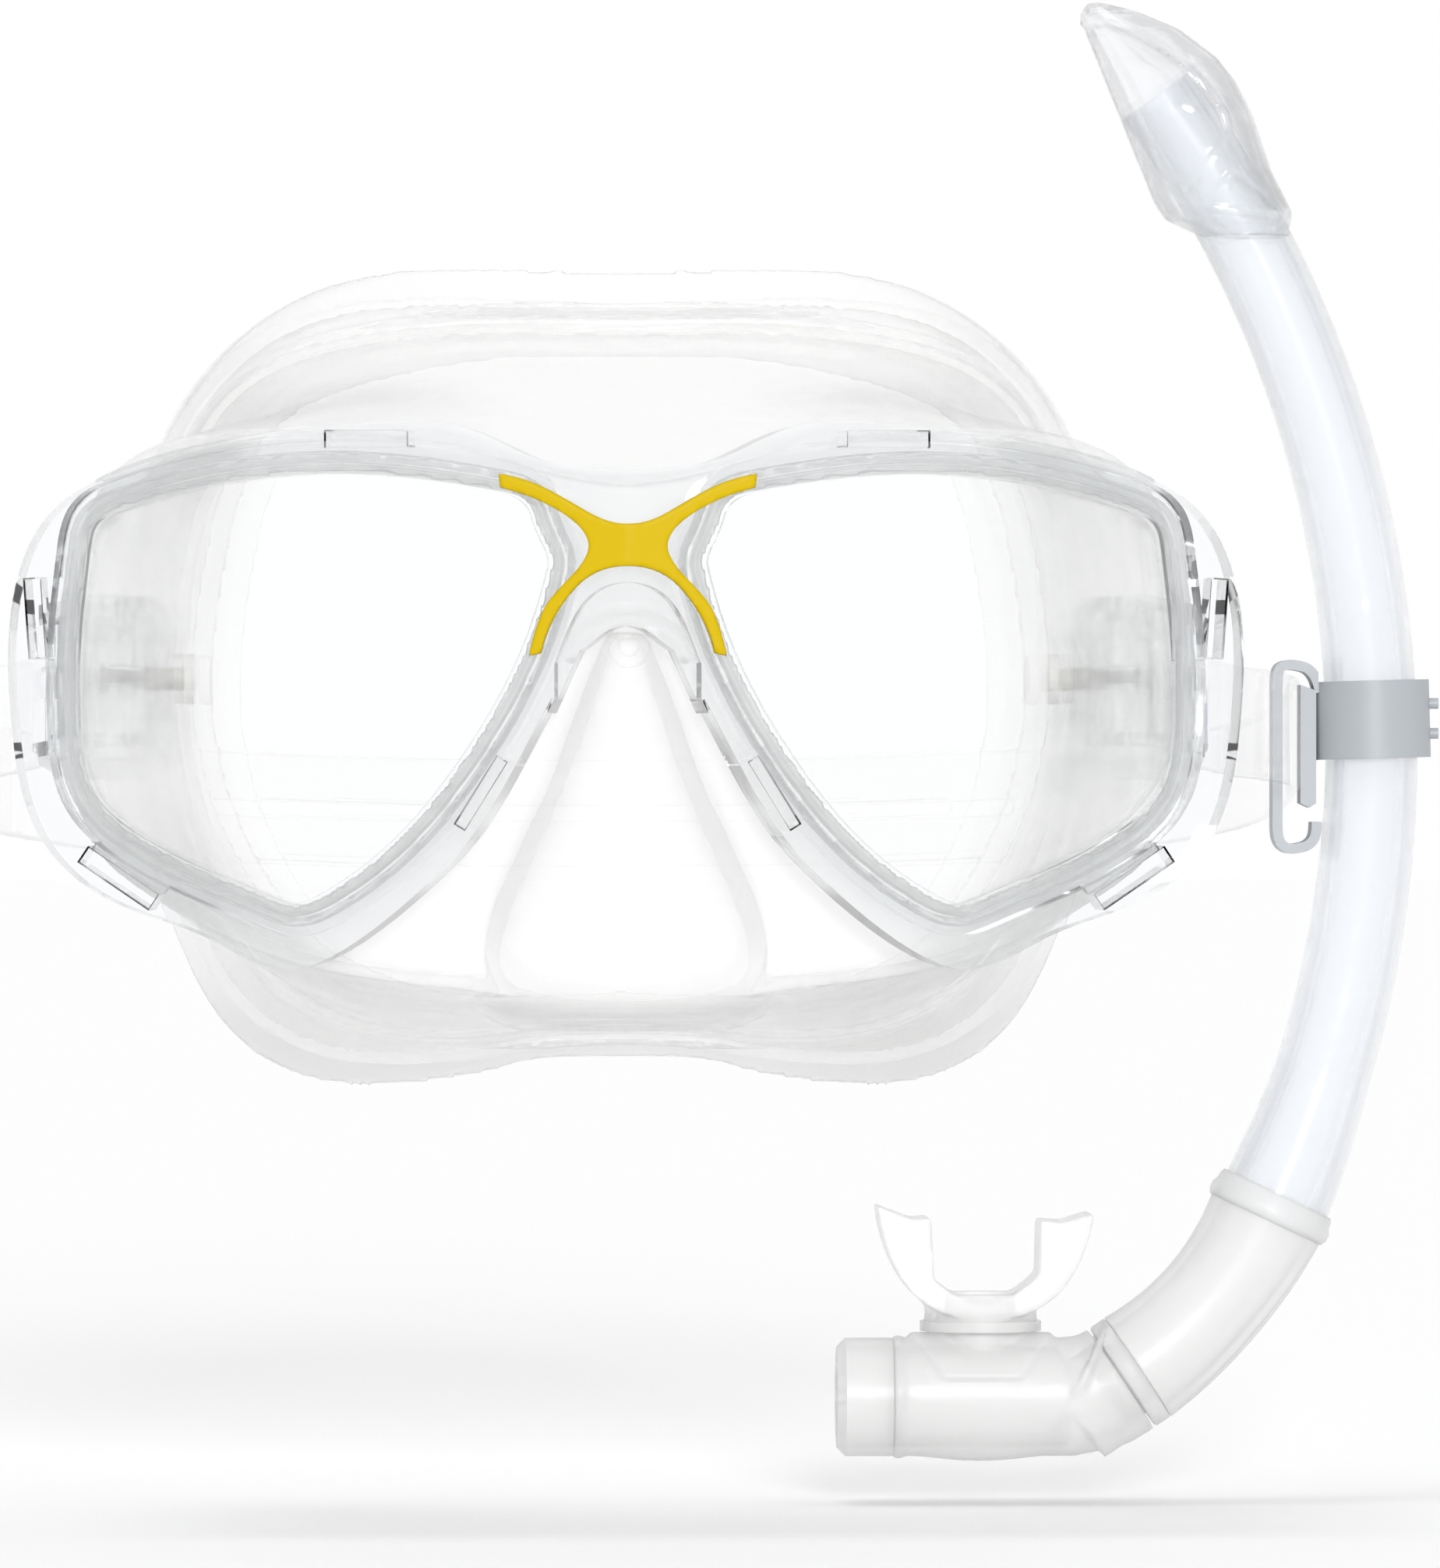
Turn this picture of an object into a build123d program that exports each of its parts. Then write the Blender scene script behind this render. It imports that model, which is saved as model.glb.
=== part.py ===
from build123d import *
import os
from math import cos, sin, radians

# Twin-lens snorkel mask with its splash-guard snorkel. Millimetres.
# +X is to the right seen from the front, +Y goes back into the wearer's face, +Z is up.
# The origin is the middle of the face seal. "left" and "right" are as seen from the front.
os.makedirs("parts", exist_ok=True)

# ---------------------------------------------------------------- mask: driving dimensions
FRONT_Y = -54.0          # front face of the frame at the bridge
WRAP = 7.0               # degrees that each eye plane is turned back from the bridge
FRAME_DEPTH = 11.0
FRONT_PLATE = 2.6        # thickness of the frame's face over the lens seat
LENS_FRONT = 3.4         # depth of the lens face behind the frame's face
LENS_THICK = 4.0
LENS_GROW = 1.7          # the lens plate reaches this far past its visible opening
RIM_GROW = 3.1           # so does the silicone rim round the lens
RETAINER_GROW = 4.25     # the retainer ring behind it
SEAT_GROW = 4.4          # and the pocket in the frame that takes them all
RETAINER_FRONT = 8.6     # depth of the retainer ring behind the frame's face
RETAINER_THICK = 2.2
HOOK_GAP = 0.2
TRIM_RECESS = 1.3
TRIM_PROUD = 0.8
ARCH_DEPTH = 4.5         # the bridge's front arch is cut back this far
HEAD_RADIUS = 92.0       # face curve that the seal lies on
LIP_THICK = 2.4
WALL = 2.2               # silicone wall
NOSE_WALL = 1.7
POST_Y, POST_Z = -8.0, -0.3      # strap post axis, which runs along X

# snap windows of one eye: centre, length, width, and turn in degrees, with -y towards the lens
WINDOWS = (((34.9, 31.2), 11.2, 2.4, 0), ((79.2, 7.5), 10.8, 2.4, -94),
           ((68.0, -27.0), 11.5, 2.6, -146), ((19.6, -15.7), 10.8, 1.8, 122))
TAB_REACH = 4.0          # the retainer's tabs reach this far in from its hooks

# ---------------------------------------------------------------- strap: driving dimensions
STRAP_DROOP = 8.0        # degrees that the loose strap hangs down behind the posts
STRAP_THICK = 1.6
STRAP_WIDTH = 16.0
SIDE_GAP = 0.4           # strap edge to cheek
BUCKLE_X = 71.5          # roller axis to the side of the nose
ROLLER_BACK = 21.0       # roller axis behind the post
ROLLER_R = 2.0
CHEEK_THICK = 2.0
LEVER_X, LEVER_BACK = 76.0, 6.0          # lever pin axis
POST_R = 1.5
POST_INNER = 57.8        # inner end of a post
HOOK_RUN_X = 94.85       # the strap runs straight back here, through the snorkel's hook

# ---------------------------------------------------------------- snorkel: driving dimensions
SNORKEL_Y = 50.0
TUBE_BEND = 153.9        # radius of the tube's centre line
TUBE_X, TUBE_Z = -47.6, -9.5             # centre of that arc
TUBE_SECTIONS = ((36.5, 5.9), (1.5, 6.45), (-17.0, 6.7), (-25.3, 8.0))   # angle, outer radius
TUBE_WALL = 1.1
KEEPER_ANGLE = 1.5
KEEPER_HEIGHT = 10.9
KEEPER_R, KEEPER_BORE = 8.25, 6.8
HOSE_BEND, HOSE_TURN = 52.1, 30.8
HOSE_R, HOSE_BORE = 7.9, 6.4
CUFF_LENGTH = 2.6
CHAMBER_Z = -100.4
CHAMBER_LEFT, CHAMBER_RIGHT = 39.0, 65.0
CHAMBER_R, CHAMBER_BORE = 8.3, 7.0
NECK_X, NECK_R, NECK_BORE = 51.4, 6.3, 5.0
MOUTH_HALF = 8.0         # half of the mouthpiece's height, front to back

WRAP_SIN, WRAP_COS = sin(radians(WRAP)), cos(radians(WRAP))


def eye_plane(depth=0.0):
    """Plane of the left eye at a depth behind the frame's face: x outward, y up, z back."""
    back = Vector(WRAP_SIN, WRAP_COS, 0)
    return Plane(origin=Vector(0, FRONT_Y, 0) + back * depth, x_dir=(-WRAP_COS, WRAP_SIN, 0), z_dir=back)


def frame_outline():
    """Half of the frame's outer edge, from the top of the bridge round to its underside."""
    with BuildSketch() as outline:
        with BuildLine():
            edge = Spline((0, 27.4), (11, 28.1), (21.5, 32.6), (32, 33.5), (52, 31.4), (68, 27.3),
                          (78, 20.4), (82.3, 9), (82.3, -6.5), (78.5, -21.5), (69.5, -29.8),
                          (57, -34.5), (45.5, -39.1), (37, -35.9), (27, -28), (17.6, -16.7),
                          (10.2, -3.5), (6.9, 3.2), tangents=((1, 0), (-0.45, 1)))
            ledge = Spline(edge @ 1, (0, 6.6), tangents=((-0.9, 0.5), (-1, 0)))
            Line(ledge @ 1, edge @ 0)
        make_face()
    return outline.sketch


def grown(outline, amount, count=72):
    """Smooth closed outline that stays a distance outside a convex one."""
    edge = outline.faces()[0].outer_wire()
    middle = outline.faces()[0].center()
    points = []
    for i in range(count):
        point, along = edge @ (i / count), edge % (i / count)
        outward = Vector(along.Y, -along.X)
        side = 1 if outward.dot(point - middle) > 0 else -1
        points.append(point + outward * side * amount)
    with BuildSketch() as result:
        with BuildLine():
            Spline(*points, periodic=True)
        make_face()
    return result.sketch


def eye_outline(grow=0.0):
    """Visible opening of one lens, grown outward by a distance."""
    with BuildSketch() as outline:
        with BuildLine():
            top = Spline((14.2, 23.4), (25, 25.4), (39, 26.6), (54, 25.4), (71.6, 20.4))
            outer = Spline(top @ 1, (73.3, 5), (73.4, -6), (71.6, -15.4), (64.5, -21.8), (54, -26.9),
                           (44.8, -30.9))
            nose = Spline(outer @ 1, (37.5, -26.9), (31, -21.6), (23, -12), (15.2, 1.2), (10.6, 15.2))
            Line(nose @ 1, top @ 0)
        make_face()
        for corner, radius in ((top @ 1, 4), (outer @ 1, 5), (nose @ 1, 3), (top @ 0, 2)):
            fillet(outline.vertices().sort_by_distance(corner)[0], radius)
    return grown(outline.sketch, grow)


def window_outline(gap=0.0, inward=0.0):
    """The snap windows of one eye, less a gap all round, and longer towards the lens."""
    with BuildSketch() as outline:
        for centre, length, width, turn in WINDOWS:
            with Locations(Location((*centre, 0), (0, 0, turn))):
                with Locations((0, -inward / 2)):
                    Rectangle(length - 2 * gap, width - 2 * gap + inward)
    return outline.sketch


def trim_outline():
    """Left half of the X-shaped bridge trim."""
    with BuildSketch() as outline:
        with BuildLine():
            upper = Spline((0, 19.9), (5.9, 21.8), (12, 25.1), (17.2, 26.6),
                           tangents=((1, 0), (1, 0.2)))
            tip = Line(upper @ 1, (17, 24.7))
            waist = Spline(tip @ 1, (11, 22.6), (5.2, 17), (9.6, 10.8), (13.2, 2.4),
                           tangents=((-1, -0.25), (0.25, -1)))
            foot = Line(waist @ 1, (11.5, 2.8))
            arch = Spline(foot @ 1, (8.3, 9.8), (0, 14.3), tangents=((-0.2, 1), (-1, 0)))
            Line(arch @ 1, upper @ 0)
        make_face()
    return outline.sketch


def mirrored(solid):
    """The same piece on the other side of the nose."""
    return mirror(solid, about=Plane.YZ, mode=Mode.PRIVATE)


def save(piece, name):
    """Label one finished piece and write it as its own STEP file."""
    piece.label = name
    export_step(piece, f"parts/{name}.step")


# ---------------------------------------------------------------- frame
with BuildPart() as frame:
    with BuildSketch(eye_plane()):
        add(frame_outline())
    extrude(amount=FRAME_DEPTH)
    with BuildSketch(eye_plane(FRONT_PLATE)):
        add(eye_outline(SEAT_GROW))
    extrude(amount=FRAME_DEPTH, mode=Mode.SUBTRACT)
    with BuildSketch(eye_plane()):
        add(eye_outline())
    extrude(amount=FRONT_PLATE, mode=Mode.SUBTRACT)
    with BuildSketch(eye_plane()):
        add(window_outline())
    extrude(amount=FRAME_DEPTH, mode=Mode.SUBTRACT)
    with BuildSketch(eye_plane(RETAINER_FRONT - 0.2)):
        add(window_outline(0, TAB_REACH))
    extrude(amount=FRAME_DEPTH, mode=Mode.SUBTRACT)
    # front arch under the bridge, which leaves the lower ledge behind it
    with BuildSketch(eye_plane()):
        with BuildLine():
            arch = Spline((0, 12.2), (5.5, 10), (9.8, 1.5), tangents=((1, 0), (0.4, -1)))
            Polyline(arch @ 1, (9.8, -4), (0, -4), arch @ 0)
        make_face()
    extrude(amount=ARCH_DEPTH, mode=Mode.SUBTRACT)
    with BuildSketch(eye_plane()):
        add(trim_outline())
    extrude(amount=TRIM_RECESS, mode=Mode.SUBTRACT)
    split(bisect_by=Plane.YZ, keep=Keep.BOTTOM)
    mirror(about=Plane.YZ)
save(frame.part, "frame")

# ---------------------------------------------------------------- bridge trim
with BuildPart() as bridge_trim:
    with BuildSketch(eye_plane(-TRIM_PROUD)):
        add(trim_outline())
    extrude(amount=TRIM_PROUD + TRIM_RECESS)
    split(bisect_by=Plane.YZ, keep=Keep.BOTTOM)
    mirror(about=Plane.YZ)
save(bridge_trim.part, "bridge_trim")

# ---------------------------------------------------------------- lenses
with BuildPart() as lens:
    with BuildSketch(eye_plane(LENS_FRONT)):
        add(eye_outline(LENS_GROW))
    extrude(amount=LENS_THICK)
    lens_faces = lens.faces().filter_by(GeomType.PLANE).sort_by(SortBy.AREA)[-2:]
    chamfer(lens_faces.edges(), 0.4)
save(lens.part, "lens_left")
save(mirrored(lens.part), "lens_right")

# ---------------------------------------------------------------- lens retainers with snap hooks
with BuildPart() as retainer:
    with BuildSketch(eye_plane(RETAINER_FRONT)):
        add(eye_outline(RETAINER_GROW))
        add(window_outline(HOOK_GAP, TAB_REACH))
        add(eye_outline(1.9), mode=Mode.SUBTRACT)
    extrude(amount=RETAINER_THICK)
    with BuildSketch(eye_plane(0.6)):
        add(window_outline(HOOK_GAP))
    extrude(amount=RETAINER_FRONT)
save(retainer.part, "retainer_left")
save(mirrored(retainer.part), "retainer_right")

# ---------------------------------------------------------------- skirt
# Half outlines of the skirt body from the top centre to the bottom centre at depths along Y, all
# with the same number of points so that they loft.
BODY_RINGS = (
    (-46, ((0, 24.5), (22, 29), (48, 30), (69, 25), (79, 10), (79, -10), (74, -23), (59, -32),
           (41, -38.5), (20, -42), (0, -43))),
    (-34, ((0, 30.5), (22, 33.5), (48, 33.5), (68, 27.5), (75.4, 11), (75.2, -10), (71, -22.5),
           (59.5, -31.5), (42, -40), (20, -43.5), (0, -44.5))),
    (-23, ((0, 37), (23, 38), (46.5, 35.5), (61.5, 27), (66.4, 10), (66.2, -10), (62, -24.5),
           (53, -36), (38.5, -43.8), (18, -46.2), (0, -45.8))),
    (-12, ((0, 43), (24, 42.4), (45, 37), (57, 26.5), (61.5, 8), (61, -10), (57, -25), (48, -39),
           (34, -47), (16, -48.4), (0, -47.6))),
    (8, ((0, 56), (27, 54.3), (49, 45.5), (60, 31), (63.3, 9), (62.5, -12), (58, -31), (49, -46.8),
         (34, -54.6), (17, -54.3), (0, -53))),
    (24, ((0, 59), (29, 57), (52, 46.5), (63.5, 31.5), (67.3, 9), (66.3, -13), (61, -35), (51.5, -51),
          (35, -58), (17, -57), (0, -55.5))),
    (40, ((0, 62), (31, 59.5), (55, 48.5), (67.5, 34), (71.5, 9), (70.5, -14), (64.5, -38),
          (54, -54), (37, -61), (17, -60), (0, -58))))
# half outline of the opening for the face
FACE_RING = ((0, 46.4), (23, 45.6), (46.6, 39), (55.2, 26), (59, 4), (57.8, -13), (51.5, -28),
             (42, -39), (28, -45), (14, -46), (0, -45.5))


def ring(points):
    """Closed symmetric outline through half a ring of points."""
    with BuildSketch() as outline:
        with BuildLine():
            Spline(*points, tangents=((1, 0), (-1, 0)))
            Spline(*[(-x, z) for x, z in points], tangents=((-1, 0), (1, 0)))
        make_face()
    return outline.sketch


def upright(y):
    """Plane across the mask at a depth: x to the right, y up."""
    return Plane(origin=(0, y, 0), x_dir=(1, 0, 0), z_dir=(0, -1, 0))


def body_loft(grow):
    """Skirt body from the frame to past the face, as one full solid."""
    with BuildPart() as body:
        for y, points in BODY_RINGS:
            with BuildSketch(upright(y)):
                add(ring([(x * (1 + grow / 60), z * (1 + grow / 46)) for x, z in points]))
        loft()
    return body.part


# nose pocket sections from the bridge down: height, half width, front of the nose
NOSE = ((7, 8.5, -44), (-8, 12.5, -47.5), (-24, 17.5, -49.5), (-40, 20, -48.5), (-47.5, 14, -40))


def nose_pocket(grow):
    """Nose pocket as a full solid: narrow at the bridge, wide at the nostrils."""
    with BuildPart() as pocket:
        for z, half_width, front in NOSE:
            wide = half_width + grow
            with BuildSketch(Plane.XY.offset(z - grow if z < -40 else z + grow)):
                with BuildLine():
                    nose = Spline((wide, -20), (wide - 1.5, front + 9), (0, front - grow),
                                  (1.5 - wide, front + 9), (-wide, -20))
                    Line(nose @ 1, nose @ 0)
                make_face()
        loft()
    return pocket.part


def face_form(grow):
    """Face that the seal lies on, as a barrel about an upright axis, made thicker by a distance."""
    with BuildPart() as form:
        with BuildSketch(Plane.XZ.offset(-HEAD_RADIUS)):
            with BuildLine():
                brow = ThreePointArc((HEAD_RADIUS - 13 + grow, 75), (HEAD_RADIUS + grow, 0),
                                     (HEAD_RADIUS - 9 + grow, -75))
                Polyline(brow @ 1, (0, -75), (0, 75), brow @ 0)
            make_face()
        revolve(axis=Axis((0, HEAD_RADIUS, 0), (0, 0, 1)))
    return form.part


with BuildPart() as half_space:
    with BuildSketch(eye_plane(FRAME_DEPTH + 0.2)):
        Rectangle(240, 240)
    extrude(amount=-80)
    mirror(about=Plane.YZ)

with BuildPart() as inner_half_space:
    with BuildSketch(eye_plane(FRAME_DEPTH + 0.2 + WALL)):
        Rectangle(240, 240)
    extrude(amount=-80)
    mirror(about=Plane.YZ)

cavity = body_loft(-WALL) - inner_half_space.part - face_form(LIP_THICK)
with BuildPart() as face_opening:
    with BuildSketch(upright(60)):
        add(ring(FACE_RING))
    extrude(amount=90)

# necks and grooved rims round the lenses
with BuildPart() as rims:
    for grow, start, depth in ((RIM_GROW, FRONT_PLATE + 0.02, RETAINER_FRONT - FRONT_PLATE - 0.1),
                               (1.75, LENS_FRONT, FRAME_DEPTH - LENS_FRONT + 1)):
        with BuildSketch(eye_plane(start)):
            add(eye_outline(grow))
        extrude(amount=depth)
    with BuildSketch(eye_plane()):
        add(eye_outline(0.2))
    extrude(amount=FRAME_DEPTH + 4, mode=Mode.SUBTRACT)
    with BuildSketch(eye_plane(LENS_FRONT)):
        add(eye_outline(LENS_GROW))
    extrude(amount=LENS_THICK, mode=Mode.SUBTRACT)

with BuildPart() as eye_holes:
    with BuildSketch(eye_plane()):
        add(eye_outline(0.2))
    extrude(amount=FRAME_DEPTH + 4)

with BuildPart() as skirt:
    add(body_loft(0) - half_space.part - face_form(0))
    add(nose_pocket(0))
    add(cavity, mode=Mode.SUBTRACT)
    add(face_opening.part & face_form(LIP_THICK + 0.5), mode=Mode.SUBTRACT)
    add(nose_pocket(-NOSE_WALL), mode=Mode.SUBTRACT)
    add([eye_holes.part, mirrored(eye_holes.part)], mode=Mode.SUBTRACT)
    add([rims.part, mirrored(rims.part)])
    # thick pads with bores for the strap posts
    for side in (-1, 1):
        pad_plane = Plane(origin=(side * 59.4, POST_Y, POST_Z), z_dir=(side, 0, 0))
        with BuildSketch(pad_plane):
            Circle(6)
        extrude(amount=5.0)
        with BuildSketch(pad_plane.offset(-10)):
            Circle(POST_R)
        extrude(amount=20, mode=Mode.SUBTRACT)
save(skirt.part, "skirt")

# ---------------------------------------------------------------- strap posts
post_plane = Plane(origin=(POST_INNER, POST_Y, POST_Z), z_dir=(1, 0, 0))
with BuildPart() as post:
    with BuildSketch(post_plane):
        Circle(3.4)
    extrude(amount=1.4)
    with BuildSketch(post_plane):
        Circle(POST_R)
    extrude(amount=12.0)
    with BuildSketch(post_plane.offset(12.0)):
        Circle(2.0)
    extrude(amount=0.7)
save(post.part, "strap_post_right")
save(mirrored(post.part), "strap_post_left")


# ---------------------------------------------------------------- strap hardware
# Drawn for the right side in the plane of the loose strap: x outward, y back, z up across it.
def strap_plane(height=0.0):
    """Plane of the loose strap, at a height across it."""
    droop = radians(STRAP_DROOP)
    up = Vector(0, sin(droop), cos(droop))
    return Plane(origin=Vector(0, POST_Y, POST_Z) + up * height, x_dir=(1, 0, 0), z_dir=up)


HALF = STRAP_WIDTH / 2
CHEEK_INNER = HALF + SIDE_GAP
CHEEK_OUTER = CHEEK_INNER + CHEEK_THICK

with BuildPart() as buckle:
    for low in (-CHEEK_OUTER, CHEEK_INNER):
        with BuildSketch(strap_plane(low)):
            with BuildLine():
                Polyline((66.6, -8), (71, -8), (78.6, 2), (78.6, 9), (75.4, 24.6), (68.6, 24.6), (67.2, 16),
                         close=True)
            make_face()
            fillet(vertices(), 1.2)
        extrude(amount=CHEEK_THICK)
    # boss plate between the cheeks
    with BuildSketch(strap_plane(-CHEEK_INNER)):
        with BuildLine():
            Polyline((65.6, -6.5), (66.4, -8), (69.2, -8), (69.2, 7), (66.8, 7), (65.6, 4.5), close=True)
        make_face()
    extrude(amount=2 * CHEEK_INNER)
    with BuildSketch(post_plane):
        Circle(POST_R + 0.06)
    extrude(amount=30, mode=Mode.SUBTRACT)
    with BuildSketch(strap_plane(-20)):
        with Locations((BUCKLE_X, ROLLER_BACK)):
            Circle(1.06)
        with Locations((LEVER_X, LEVER_BACK)):
            Circle(0.8)
    extrude(amount=40, mode=Mode.SUBTRACT)
save(buckle.part, "buckle_right")
save(mirrored(buckle.part), "buckle_left")

with BuildPart() as roller:
    for radius, reach in ((ROLLER_R, HALF + 0.2), (1.0, CHEEK_OUTER)):
        with BuildSketch(strap_plane(-reach)):
            with Locations((BUCKLE_X, ROLLER_BACK)):
                Circle(radius)
        extrude(amount=2 * reach)
save(roller.part, "strap_roller_right")
save(mirrored(roller.part), "strap_roller_left")

with BuildPart() as lever_pin:
    with BuildSketch(strap_plane(-CHEEK_OUTER)):
        with Locations((LEVER_X, LEVER_BACK)):
            Circle(0.8)
    extrude(amount=2 * CHEEK_OUTER)
save(lever_pin.part, "lever_pin_right")
save(mirrored(lever_pin.part), "lever_pin_left")

with BuildPart() as lever:
    with BuildSketch(strap_plane(-HALF)):
        with BuildLine():
            Polyline((73.8, 4.2), (77.6, 3.4), (79.4, 6), (79.6, 13), (78.6, 17.5), (76.2, 15.2), (74.0, 8),
                     close=True)
        make_face()
        fillet(vertices(), 0.6)
    extrude(amount=STRAP_WIDTH)
    with BuildSketch(strap_plane(-20)):
        with Locations((LEVER_X, LEVER_BACK)):
            Circle(0.86)
    extrude(amount=40, mode=Mode.SUBTRACT)
    # notch for the lever's spring
    with BuildSketch(strap_plane(-2.2)):
        with Locations((75.0, 5.2)):
            Rectangle(6.4, 5.6)
    extrude(amount=4.4, mode=Mode.SUBTRACT)
save(lever.part, "release_lever_right")
save(mirrored(lever.part), "release_lever_left")

with BuildPart() as lever_spring:
    with BuildSketch(strap_plane(-1.6)):
        with Locations((LEVER_X, LEVER_BACK)):
            Circle(1.6)
            Circle(0.9, mode=Mode.SUBTRACT)
    extrude(amount=3.2)
save(lever_spring.part, "lever_spring_right")
save(mirrored(lever_spring.part), "lever_spring_left")


# ---------------------------------------------------------------- strap
def ribbon(path, thick, steps):
    """Face of even thickness along a path of edges."""
    sides = ([], [])
    for edge in path:
        for i in range(steps):
            point, along = edge @ (i / steps), edge % (i / steps)
            across = Vector(-along.Y, along.X) * (thick / 2)
            sides[0].append(point + across)
            sides[1].append(point - across)
    end, along = path[-1] @ 1, path[-1] % 1
    across = Vector(-along.Y, along.X) * (thick / 2)
    sides[0].append(end + across)
    sides[1].append(end - across)
    with BuildSketch() as face:
        with BuildLine():
            near, far = Spline(*sides[0]), Spline(*sides[1])
            Line(near @ 0, far @ 0)
            Line(near @ 1, far @ 1)
        make_face()
    return face.sketch


WRAP_R = ROLLER_R + 0.35 + STRAP_THICK / 2
with BuildLine() as strap_path:
    tail = Line((BUCKLE_X - WRAP_R, 31), (BUCKLE_X - WRAP_R, ROLLER_BACK))
    turn = ThreePointArc(tail @ 1, (BUCKLE_X, ROLLER_BACK - WRAP_R), (BUCKLE_X + WRAP_R, ROLLER_BACK))
    out = Spline(turn @ 1, (83.5, 37), (HOOK_RUN_X, 50), tangents=((0, 1), (0, 1)))
    straight = Line(out @ 1, (HOOK_RUN_X, 67))
    around = Spline(straight @ 1, (87, 98), (54, 124), (0, 133), tangents=((0, 1), (-1, 0)))

with BuildPart() as strap:
    with BuildSketch(strap_plane(-HALF)):
        add(ribbon((tail, turn, out, straight, around), STRAP_THICK, 10))
    extrude(amount=STRAP_WIDTH)
    split(bisect_by=Plane.YZ, keep=Keep.TOP)
    mirror(about=Plane.YZ)
    # slit that parts the strap into two bands behind the head
    with BuildSketch(strap_plane(-1)):
        with Locations((0, 120)):
            Rectangle(84, 40)
    extrude(amount=2, mode=Mode.SUBTRACT)
save(strap.part, "strap")

# ---------------------------------------------------------------- snorkel tube
side_view = Plane(origin=(0, SNORKEL_Y, 0), x_dir=(1, 0, 0), z_dir=(0, -1, 0))


def tube_plane(angle):
    """Plane square to the tube at an angle on its arc, looking up the tube."""
    turn = radians(angle)
    where = (TUBE_X + TUBE_BEND * cos(turn), SNORKEL_Y, TUBE_Z + TUBE_BEND * sin(turn))
    return Plane(origin=where, x_dir=(0, 1, 0), z_dir=(-sin(turn), 0, cos(turn)))


def tube_solid(thinner=0.0, first=0, last=len(TUBE_SECTIONS) - 1):
    """Tube as a full solid through its sections, each made thinner by a distance."""
    with BuildPart() as solid:
        for (top, top_r), (low, low_r) in zip(TUBE_SECTIONS[first:last], TUBE_SECTIONS[first + 1:last + 1]):
            with BuildLine(side_view):
                path = CenterArc((TUBE_X, TUBE_Z), TUBE_BEND, low, top - low)
            for angle, radius in ((low, low_r), (top, top_r)):
                with BuildSketch(tube_plane(angle)):
                    Circle(radius - thinner)
            sweep(path=path, multisection=True)
    return solid.part


with BuildPart() as tube:
    add(tube_solid())
    add(tube_solid(TUBE_WALL), mode=Mode.SUBTRACT)
save(tube.part, "tube")

# ---------------------------------------------------------------- splash guard
# horizontal sections of the hood: height, middle in X, half width, half depth
HOOD = ((62.0, 88.2, 7.4, 7.4), (67.0, 85.4, 9.7, 8.6), (73.1, 82.3, 9.1, 9.0), (79.5, 79.9, 9.5, 9.0),
        (84.6, 77.8, 9.3, 8.6), (89.5, 74.4, 7.7, 7.2), (93.0, 71.0, 5.2, 5.0), (94.8, 68.6, 2.4, 2.4))
HOOD_WALL = 1.2


def hood_solid(thinner, first):
    """Hood of the splash guard as a full solid."""
    with BuildPart() as solid:
        for z, middle, half_width, half_depth in HOOD[first:]:
            with BuildSketch(Plane.XY.offset(z - thinner)):
                with Locations((middle, SNORKEL_Y)):
                    Ellipse(half_width - thinner, half_depth - thinner)
        loft()
    return solid.part


with BuildPart() as splash_guard:
    add(hood_solid(0, 0))
    add(hood_solid(HOOD_WALL, 1), mode=Mode.SUBTRACT)
    # drain slot on the side that faces away from the tube
    with BuildSketch(side_view):
        with BuildLine():
            Polyline((70, 66), (79.5, 62.8), (79.5, 69), (70, 72), close=True)
        make_face()
    extrude(amount=4.5, both=True, mode=Mode.SUBTRACT)
    add(tube_solid(0, 0, 1), mode=Mode.SUBTRACT)
save(splash_guard.part, "splash_guard")

# ---------------------------------------------------------------- keeper
ring_plane = tube_plane(KEEPER_ANGLE).offset(-KEEPER_HEIGHT / 2)
with BuildPart() as keeper_ring:
    with BuildSketch(ring_plane):
        Circle(KEEPER_R)
        Circle(KEEPER_BORE, mode=Mode.SUBTRACT)
    extrude(amount=KEEPER_HEIGHT)
    for z in (-3.2, -7.4):
        with BuildSketch(Plane(origin=(114.2, SNORKEL_Y, z), z_dir=(1, 0, 0))):
            Circle(0.76)
        extrude(amount=1.5)
save(keeper_ring.part, "keeper_ring")

HOOK_WIRE = 1.4
with BuildLine() as hook_path:
    top_arc = Spline((98.9, -1.6), (97.2, 1.6), (94.6, 2.2), (92.9, -0.8), tangents=((-0.3, 1), (0, -1)))
    leg = Line(top_arc @ 1, (92.9, -20.6))
    bend = Spline(leg @ 1, (96.2, -23.4), (98.4, -19.8), tangents=((0, -1), (0, 1)))
with BuildPart() as keeper_hook:
    with BuildSketch(side_view.offset(-3.5)):
        add(ribbon((top_arc, leg, bend), HOOK_WIRE, 8))
        with BuildLine():
            Polyline((96.1, -0.6), (98.3, -1.4), (98.3, -17.2), (97.4, -17.8), (96.1, -17.2), close=True)
        make_face()
    extrude(amount=7.0)
    with BuildSketch(ring_plane.offset(-20)):
        Circle(KEEPER_R)
    extrude(amount=40, mode=Mode.SUBTRACT)
save(keeper_hook.part, "keeper_hook")

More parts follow.
